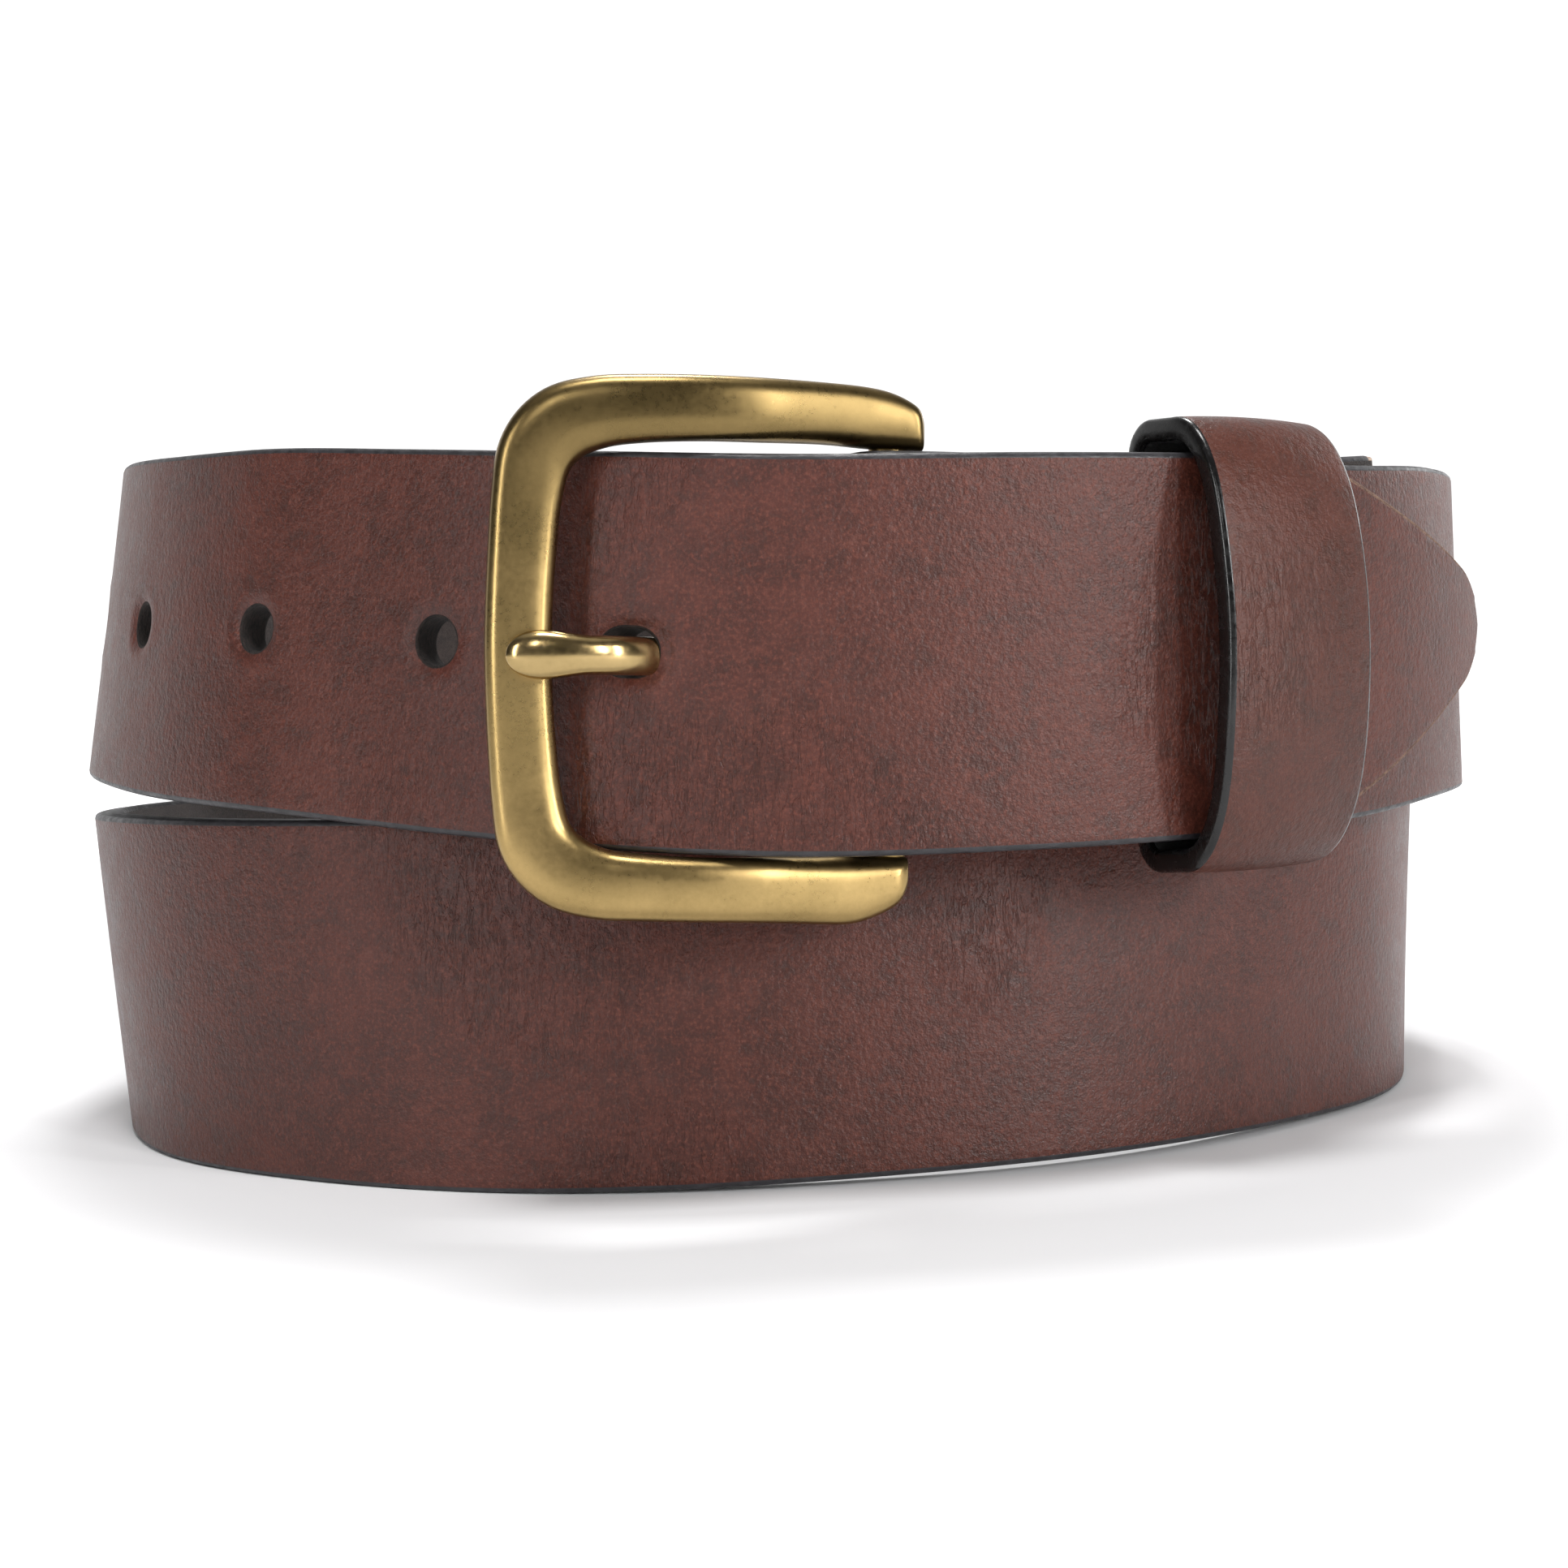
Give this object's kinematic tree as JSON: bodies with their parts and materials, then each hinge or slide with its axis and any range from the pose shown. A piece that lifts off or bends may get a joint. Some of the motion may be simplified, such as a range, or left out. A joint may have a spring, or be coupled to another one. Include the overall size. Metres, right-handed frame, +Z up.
{
  "type": "leather belt",
  "caption": "Single-ply leather belt, buckled and coiled twice round on its edge, with a heel-bar buckle, prong, snapped fold and sliding leather keeper.",
  "frame": {"origin": "middle of the part's bounding box, on the surface the belt stands on", "axes": "+Z up, square to the surface; -Y towards the buckle, the side the belt is looked at from; +X towards the tail's tip and the keeper"},
  "size_m": [0.1756, 0.1735, 0.0806],
  "materials": {
    "strap_leather": "dark red-brown pebbled grain, edges painted black",
    "keeper_leather": "dark red-brown grain, edges painted glossy black",
    "antique_brass": "satin antique brass",
    "prong_brass": "satin antique brass, worn bright",
    "snap_brass": "dull antique brass",
    "staple_steel": "dull wire"
  },
  "bodies": {
    "belt": {"strap": "strap_leather", "snap_caps": "snap_brass", "snap_sockets": "snap_brass", "snap_studs": "snap_brass", "snap_rivets": "snap_brass"},
    "buckle": {"buckle_frame": "antique_brass"},
    "prong": {"prong": "prong_brass"},
    "keeper": {"keeper": "keeper_leather", "keeper_staples": "staple_steel"}
  },
  "joints": [
    {"name": "buckle_hinge", "type": "hinge", "parent": "belt", "child": "buckle", "pos_m": [0.01094, -0.07343, 0.05365], "axis": [0.0333, 0.0045, 0.9994], "range_deg": [-1.2, 0.8]},
    {"name": "prong_hinge", "type": "hinge", "parent": "buckle", "child": "prong", "pos_m": [0.01094, -0.07343, 0.05365], "axis": [0.0333, 0.0045, 0.9994], "range_deg": [0, 1.2]},
    {"name": "keeper_slide", "type": "hinge", "parent": "belt", "child": "keeper", "pos_m": [0.00165, 0.00271, 0.0532], "axis": [0, 0, 1], "range_deg": [-4.5, 2]}
  ]
}
